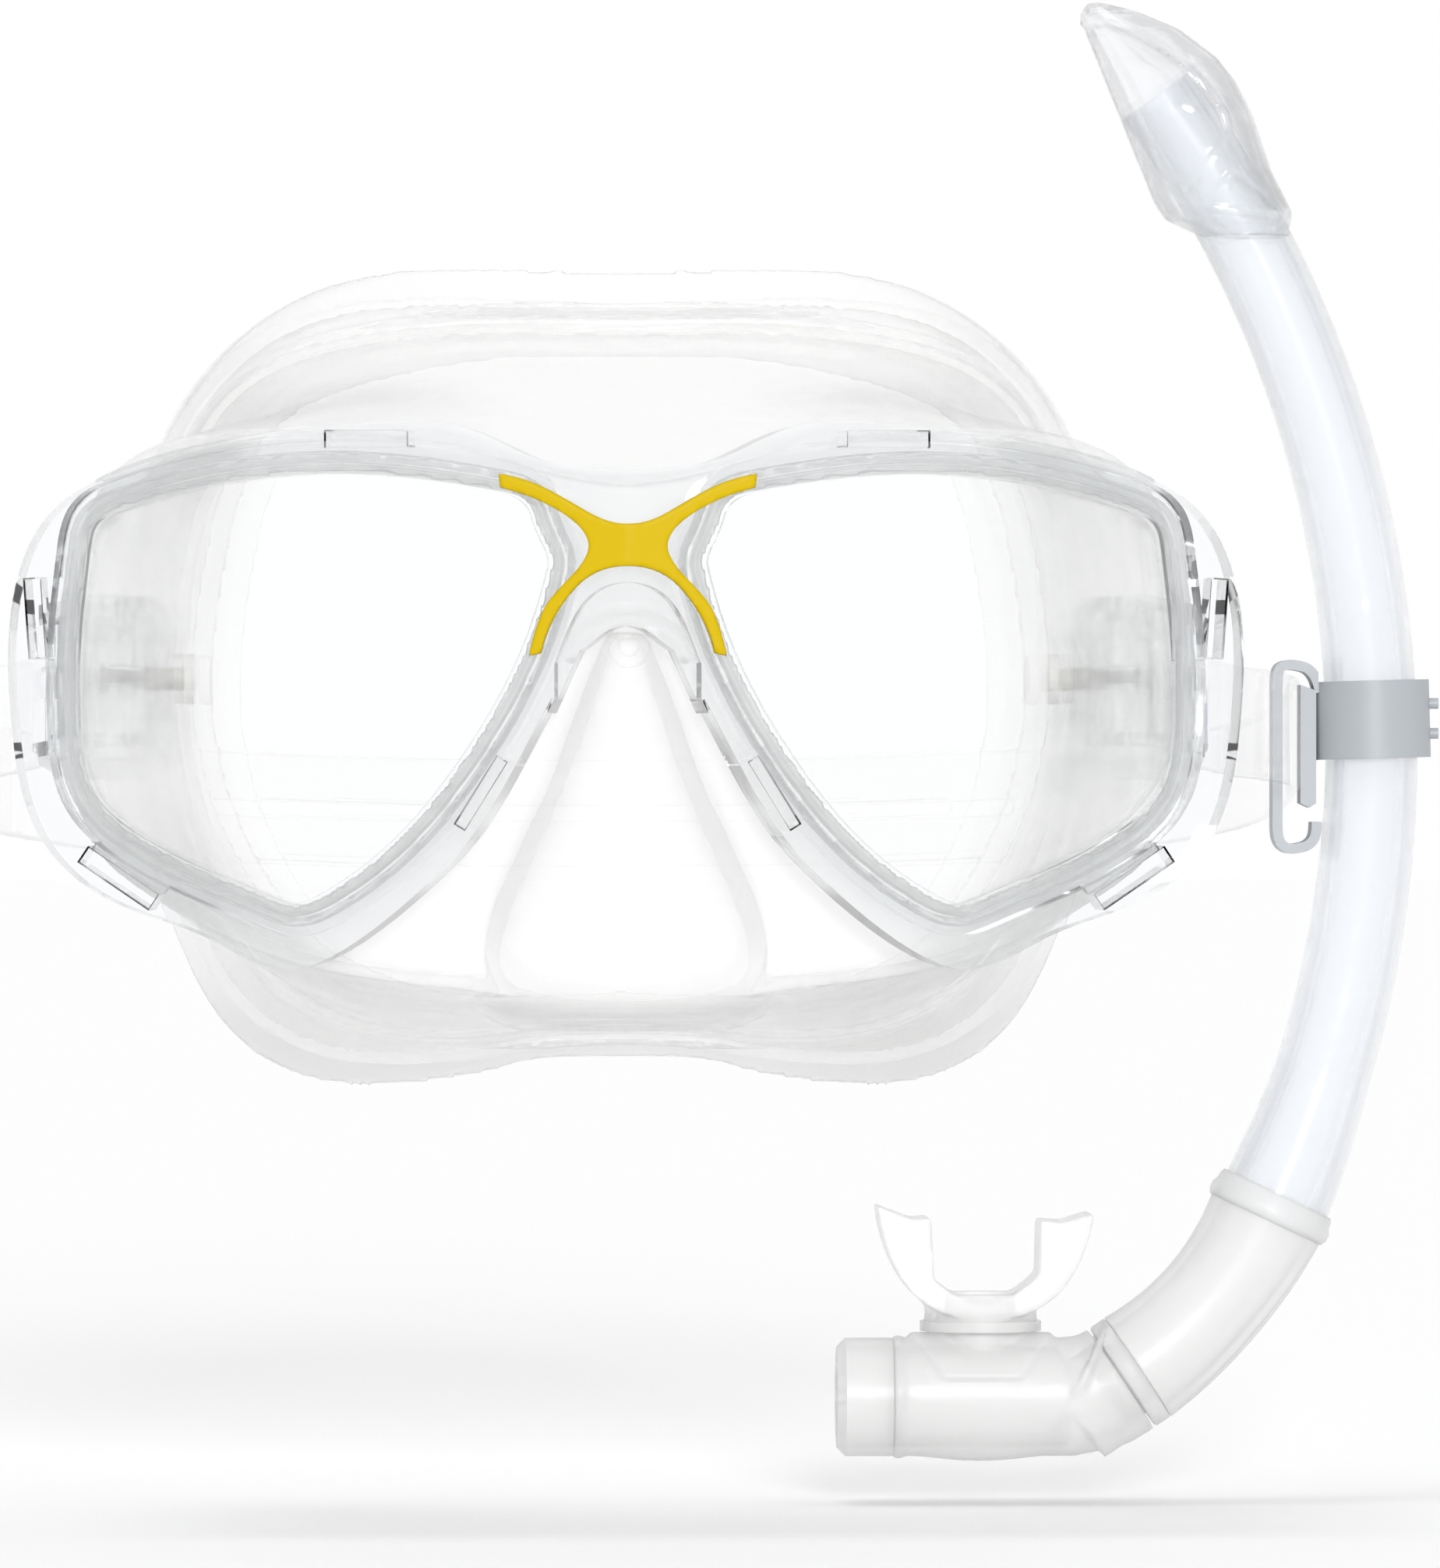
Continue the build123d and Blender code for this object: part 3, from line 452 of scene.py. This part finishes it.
def strap():
    """Silicone strap: one wide band at each side that parts in two behind the head."""
    half, gap = STRAP_WIDTH / 2, STRAP_GAP / 2
    run = curve([(x, y, 0) for x, y in strap_run()], steps=6)
    wide = [p for p in run if p.y < WIDE_BACK or abs(p.x) > WIDE_X]
    narrow = [p for p in run if p.y > NARROW_BACK and abs(p.x) < NARROW_X]
    parts = [band([p for p in wide if p.x < 0], -half, half),
             band([p for p in wide if p.x > 0], -half, half),
             band(narrow, gap, half), band(narrow, -half, -gap)]
    obj = moulded("strap_moulding", parts, voxel=0.5, smooth=2)
    settle(obj, "strap", "clear_silicone", SOFT_CLEAR, "strap")


# ---------------------------------------------------------------- snorkel
def arc_place(angle, bend, x, z):
    """Point and outward direction on an arc in the snorkel's plane."""
    out = Vector((cos(radians(angle)), 0, sin(radians(angle))))
    return Vector((x, SNORKEL_Y, z)) + out * bend, out


def flex_hose():
    """Silicone elbow between the tube and the mouth chamber, with lengthwise folds on its outer
    side."""
    steps, count = 60, 96
    outer, inner = [], []
    for i in range(steps + 1):
        t = i / steps
        centre, out = arc_place(HOSE_START - HOSE_TURN * t, HOSE_BEND, HOSE_X, HOSE_Z)
        middle = sin(pi * t)
        for rings, (end_radius, waist, depth) in zip((outer, inner), HOSE_WALLS):
            radius = end_radius - waist * middle
            ring = []
            for a in circle(count):
                outside = max(0.0, cos(a)) ** 2
                r = radius - depth * middle * outside * (0.5 - 0.5 * cos(HOSE_FOLDS * a))
                ring.append(centre + out * r * cos(a) + Vector((0, r * sin(a), 0)))
            rings.append(ring)
    ends = [arc_place(HOSE_START - turn, HOSE_BEND, HOSE_X, HOSE_Z)[0] * MM
            for turn in (0, HOSE_TURN)]
    new_piece("folded_hose", ("tube", "cuff", *ends), "clear_silicone", MILKY,
              *shell_mesh(outer + inner[::-1], closed_path=True), "flex_hose")


def hose_collar():
    """Rolled collar that holds the hose on the tube."""
    centre, out = arc_place(HOSE_START, TUBE_BEND, TUBE_X, TUBE_Z)
    along = Vector((-out.z, 0, out.x))
    new_piece("rolled_collar", "tube", "clear_silicone", MILKY,
              *lathe(centre, along, COLLAR_PROFILE), "hose_collar")


def hose_cuff():
    """Milky cuff that carries the hose's curve on to the elbow, with the spigot that turns in
    it."""
    new_piece("smooth_cuff", "cuff", "clear_plastic", MILKY,
              *lathe(CUFF_START, CUFF_WAY, CUFF_PROFILE), "hose_cuff")


def mouthpiece():
    """Silicone mouthpiece: its CAD shape, with a flared neck."""
    neck = loose_mesh("neck", *lathe((NECK_X, SNORKEL_Y, CHAMBER_Z), (0, 0, 1), NECK_PROFILE))
    obj = moulded("mouthpiece_moulding", (copy_of("mouthpiece"), neck), voxel=0.4, smooth=6)
    settle(obj, "chamber", "clear_silicone", MILKY, "mouthpiece")


def belly():
    """Outer wall of the mouth chamber, which swells downward under the mouthpiece."""
    steps, count = 26, 64
    outer, inner = [], []
    for i in range(steps + 1):
        t = i / steps
        x = CHAMBER_LEFT + 0.1 + BELLY_LENGTH * t
        swell = BELLY_SWELL * sin(pi * min(1, max(0, (t - 0.08) / 0.8))) ** 1.5
        for rings, radius, grow in ((outer, BELLY_OUTER, swell), (inner, BELLY_INNER, 0)):
            ring = []
            for a in circle(count):
                r = radius + grow * max(0.0, -sin(a)) ** 1.2
                ring.append((x, SNORKEL_Y + r * cos(a), CHAMBER_Z + r * sin(a)))
            rings.append(ring)
    return loose_mesh("belly", *shell_mesh(outer + inner[::-1], closed_path=True))


def elbow():
    """Rounded wall of the elbow, from the chamber's end to the swivel plane of the cuff."""
    steps, count, radius = 20, 64, ELBOW_RADIUS
    start, corner = Vector(ELBOW_START), Vector(ELBOW_CORNER)
    end = Vector(CUFF_START) + Vector(CUFF_WAY) * ELBOW_END
    leaving, arriving = Vector((1, 0, 0)), Vector((-CUFF_WAY[0], 0, -CUFF_WAY[2]))
    outer, inner = [], []
    for i in range(steps + 1):
        t = i / steps
        turn = t * t * (3 - 2 * t)
        way = (leaving * (1 - turn) + arriving * turn).normalized()
        centre = start * (1 - t) ** 2 + corner * 2 * t * (1 - t) + end * t * t
        up = Vector((-way.z, 0, way.x))
        ring = [centre + up * radius * cos(a) + Vector((0, radius * sin(a), 0))
                for a in circle(count)]
        middle = sum(ring, Vector()) / count
        outer.append(ring)
        inner.append([middle + (p - middle) * ELBOW_HOLLOW for p in ring])
    return loose_mesh("elbow", *shell_mesh(outer + inner[::-1], closed_path=True))


def mouth_chamber():
    """Milky chamber: its CAD shape with the swelling belly, a round elbow with a seam and a lip,
    and a bead at its open end."""
    end = (CHAMBER_LEFT, SNORKEL_Y, CHAMBER_Z)
    bead = loose_mesh("bead", *lathe(end, (1, 0, 0), BEAD_PROFILE))
    lip = loose_mesh("elbow_lip", *lathe(CUFF_START, CUFF_WAY, LIP_PROFILE))
    seam = loose_mesh("elbow_seam", *lathe(SEAM_PLACE, SEAM_WAY, SEAM_PROFILE))
    parts = (copy_of("mouth_chamber"), belly(), elbow(), bead, lip, seam)
    obj = moulded("chamber_moulding", parts, voxel=0.4, smooth=3)
    settle(obj, "chamber", "clear_plastic", MILKY, "mouth_chamber")


def along_table(table, where):
    """Value read off a table of (place, value) pairs at a place."""
    for (a, low), (b, high) in zip(table, table[1:]):
        if where <= b:
            return low + (high - low) * max(0.0, (where - a) / (b - a))
    return table[-1][1]


def hood_ring(z, inward):
    """Level section of the hood, moved inward by a distance."""
    left, right = along_table(HOOD_EDGE, z) + inward, along_table(HOOD_BACK, z) - inward
    depth = max(0.3, along_table(HOOD_DEPTH, z) - inward)
    middle, half = (left + right) / 2, max(0.3, (right - left) / 2)
    ring = []
    for a in circle(HOOD_SIDES):
        side = 1 if sin(a) > 0 else -1
        ring.append((middle + half * cos(a), SNORKEL_Y + depth * (abs(sin(a)) ** 0.8) * side, z))
    return ring


def hood_side(x, z):
    """Half depth of the hood's surface at an x and a height."""
    left, right = along_table(HOOD_EDGE, z), along_table(HOOD_BACK, z)
    off = 2 * (x - left) / (right - left) - 1
    return along_table(HOOD_DEPTH, z) * max(0.0, 1 - off * off) ** 0.4


def splash_guard():
    """Clear hood over the tube's end: a thin shell with a curved rib and a beaded window on each
    side."""
    steps = 44
    low, top = HOOD_EDGE[0][0], HOOD_EDGE[-1][0]
    heights = [low + (top - low) * (i / steps) ** 0.85 for i in range(steps + 1)]
    outer = [hood_ring(z, 0) for z in heights]
    inner = [hood_ring(z, HOOD_WALL) for z in heights if z < top - HOOD_WALL]
    count, rim = len(outer[0]), len(outer)
    # each wall has its own cap at the tip, and the lower rim joins the two
    faces = []
    for first, last in ((0, rim - 1), (rim, rim + len(inner) - 1)):
        for i in range(first, last):
            faces += strip(i * count, (i + 1) * count, count)
        faces.append(tuple(range(last * count, (last + 1) * count)))
    faces += strip(0, rim * count, count)
    parts = [loose_mesh("hood_shell", [p for ring in outer + inner for p in ring], faces)]
    for side in (-1, 1):
        rib = [(x, SNORKEL_Y + side * (hood_side(x, z) - RIB_SUNK), z) for x, z in HOOD_RIB]
        window = [(x, SNORKEL_Y + side * hood_side(x, z), z) for x, z in HOOD_WINDOW]
        parts.append(loose_mesh("hood_rib", *tube_along(rib, RIB_RADIUS)))
        parts.append(loose_mesh("hood_window", *tube_along(window, WINDOW_RADIUS, closed=True)))
    obj = moulded("hood_moulding", parts, voxel=0.35, smooth=3)
    settle(obj, "tube", "clear_plastic", HOOD, "splash_guard")


def purge_flap():
    """Thin mushroom valve with a stem."""
    end = (CHAMBER_LEFT, SNORKEL_Y, CHAMBER_Z)
    new_piece("mushroom_valve", "flap", "clear_silicone", SILICONE,
              *lathe(end, (1, 0, 0), FLAP_PROFILE), "purge_flap")


# ---------------------------------------------------------------- stage
def sun(name, azimuth, elevation, strength, angle):
    """Soft far light from a side of the object: azimuth 0 is in front and 90 to its right."""
    light = bpy.data.lights.new(name, "SUN")
    light.energy = strength
    light.angle = radians(angle)
    turn, lift = radians(azimuth), radians(elevation)
    toward = Vector((sin(turn) * cos(lift), -cos(turn) * cos(lift), sin(lift)))
    add_object(name, light).rotation_euler = toward.to_track_quat("Z", "Y").to_euler()


def world():
    """White studio with soft grey bands, which give clear plastic its edges. The camera itself
    sees plain white."""
    # distance above or below the horizon, and the level of grey there
    bands = ((0.0, 1.0), (0.16, 1.0), (0.30, 0.32), (0.52, 0.34), (0.7, 1.0))
    blueness = 1.01
    scene_world = bpy.data.worlds.new("studio")
    bpy.context.scene.world = scene_world
    scene_world.use_nodes = True
    nodes, links = scene_world.node_tree.nodes, scene_world.node_tree.links
    background = nodes["Background"]
    place = nodes.new("ShaderNodeTexCoord")
    split = nodes.new("ShaderNodeSeparateXYZ")
    links.new(place.outputs["Generated"], split.inputs["Vector"])
    height = nodes.new("ShaderNodeMath")
    height.operation = "ABSOLUTE"
    links.new(split.outputs["Z"], height.inputs[0])
    band_ramp = nodes.new("ShaderNodeValToRGB")
    ramp = band_ramp.color_ramp
    ramp.elements[0].position, ramp.elements[1].position = bands[0][0], bands[-1][0]
    for where, _ in bands[1:-1]:
        ramp.elements.new(where)
    for element, (_, level) in zip(ramp.elements, bands):
        element.color = (level, level, level * blueness, 1)
    links.new(height.outputs["Value"], band_ramp.inputs["Fac"])
    white = nodes.new("ShaderNodeMixRGB")
    white.inputs["Color2"].default_value = (1, 1, 1, 1)
    path = nodes.new("ShaderNodeLightPath")
    links.new(path.outputs["Is Camera Ray"], white.inputs["Fac"])
    links.new(band_ramp.outputs["Color"], white.inputs["Color1"])
    links.new(white.outputs["Color"], background.inputs["Color"])
    background.inputs["Strength"].default_value = 1.0


def floor():
    """Plain pale floor just under the object's lowest point."""
    gap, reach = 0.006, 12.0
    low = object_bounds()[0].z - gap
    mesh = bpy.data.meshes.new("floor")
    mesh.from_pydata([(-reach, -reach, low), (reach, -reach, low), (reach, reach, low),
                      (-reach, reach, low)], [], [(0, 1, 2, 3)])
    obj = add_object("floor", mesh)
    pale = bpy.data.materials.new("pale_floor")
    pale.use_nodes = True
    shader = pale.node_tree.nodes["Principled BSDF"]
    shader.inputs["Base Color"].default_value = (0.925, 0.925, 0.925, 1)
    shader.inputs["Roughness"].default_value = 1.0
    shader.inputs["Specular IOR Level"].default_value = 0.0
    mesh.materials.append(pale)
    obj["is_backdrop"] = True


def camera():
    """Long lens level with the mask, a little to its left."""
    turn, distance = radians(-1.5), 1.7268
    pivot = Vector((12.15, -54, -14.5)) * MM
    lens = bpy.data.cameras.new("camera")
    lens.lens = 300
    lens.sensor_width = 36
    lens.clip_end = 60
    obj = add_object("camera", lens)
    obj.location = pivot - Vector((-sin(turn), cos(turn), 0)) * distance
    obj.rotation_euler = (pi / 2, 0, turn)
    bpy.context.scene.camera = obj


# ---------------------------------------------------------------- the scene
dress(CLEAR, "frame", "retainer_left", "retainer_right", "buckle_left", "buckle_right",
      "strap_roller_left", "strap_roller_right", "release_lever_left", "release_lever_right")
dress(MILKY, "end_cap", "valve_seat", "mouthpiece_tie")
dress(GLASS, "lens_left", "lens_right")
dress(GREY, "keeper_ring", "keeper_hook")
dress(PALE, "strap_post_left", "strap_post_right")
dress(TUBE, "tube")
dress(STEEL, "lever_pin_left", "lever_pin_right", "lever_spring_left", "lever_spring_right")

skirt()
bridge_trim()
strap()
flex_hose()
hose_collar()
hose_cuff()
mouthpiece()
mouth_chamber()
purge_flap()
splash_guard()

soften(0.3, "keeper_ring", "keeper_hook")
soften(0.35, "frame")

world()
floor()
camera()
sun("front", azimuth=4, elevation=13, strength=2.2, angle=12)
sun("top", azimuth=-40, elevation=75, strength=0.4, angle=20)
bpy.context.scene.view_settings.view_transform = "Standard"
